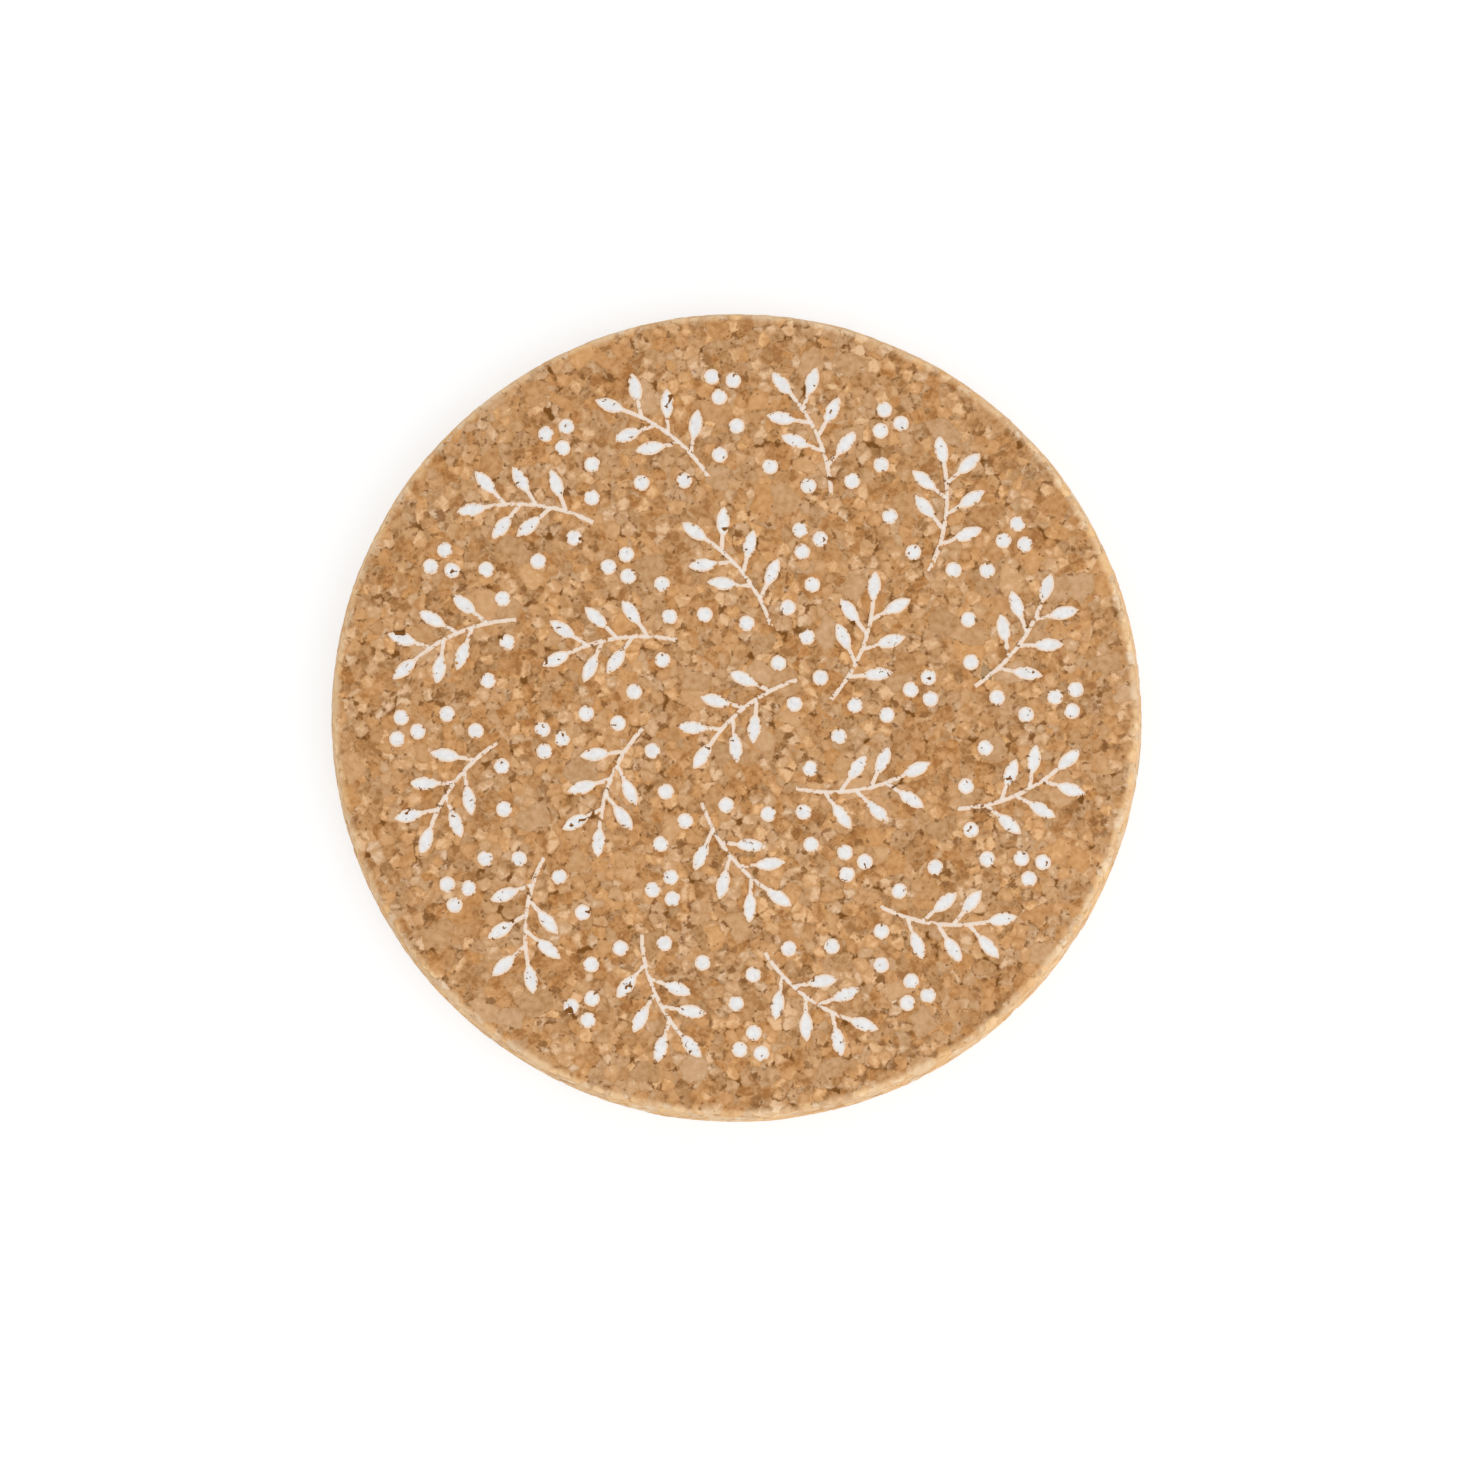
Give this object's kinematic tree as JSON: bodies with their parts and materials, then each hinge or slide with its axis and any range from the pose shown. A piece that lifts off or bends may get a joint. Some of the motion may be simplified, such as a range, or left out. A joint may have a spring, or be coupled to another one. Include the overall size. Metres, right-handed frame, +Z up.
{
  "type": "cork coaster",
  "caption": "Round cork coaster: a thin disc of pressed cork with a raw cut edge, a sealed top face and a white leaf-sprig print, to stand a cup or glass on.",
  "frame": {"origin": "centre of the base, on the surface that the coaster lies on", "axes": "+Z up through the printed face, +X to the right and +Y away from the viewer in the picture"},
  "size_m": [0.1, 0.1, 0.0051],
  "materials": {
    "raw_cork": "matte",
    "sealed_cork": "satin",
    "white_ink": "matte"
  },
  "bodies": {
    "root": {"cork_disc": "raw_cork", "seal_coat": "sealed_cork", "printed_sprig_centre": "white_ink", "printed_sprig_inner_1": "white_ink", "printed_sprig_inner_2": "white_ink", "printed_sprig_inner_3": "white_ink", "printed_sprig_inner_4": "white_ink", "printed_sprig_inner_5": "white_ink", "printed_sprig_inner_6": "white_ink", "printed_sprig_outer_1": "white_ink", "printed_sprig_outer_2": "white_ink", "printed_sprig_outer_3": "white_ink", "printed_sprig_outer_4": "white_ink", "printed_sprig_outer_5": "white_ink", "printed_sprig_outer_6": "white_ink", "printed_sprig_outer_7": "white_ink", "printed_sprig_outer_8": "white_ink", "printed_sprig_outer_9": "white_ink", "printed_sprig_outer_10": "white_ink", "printed_sprig_outer_11": "white_ink", "printed_sprig_outer_12": "white_ink", "printed_dots_centre": "white_ink", "printed_dots_inner": "white_ink", "printed_dots_outer": "white_ink"}
  },
  "joints": []
}
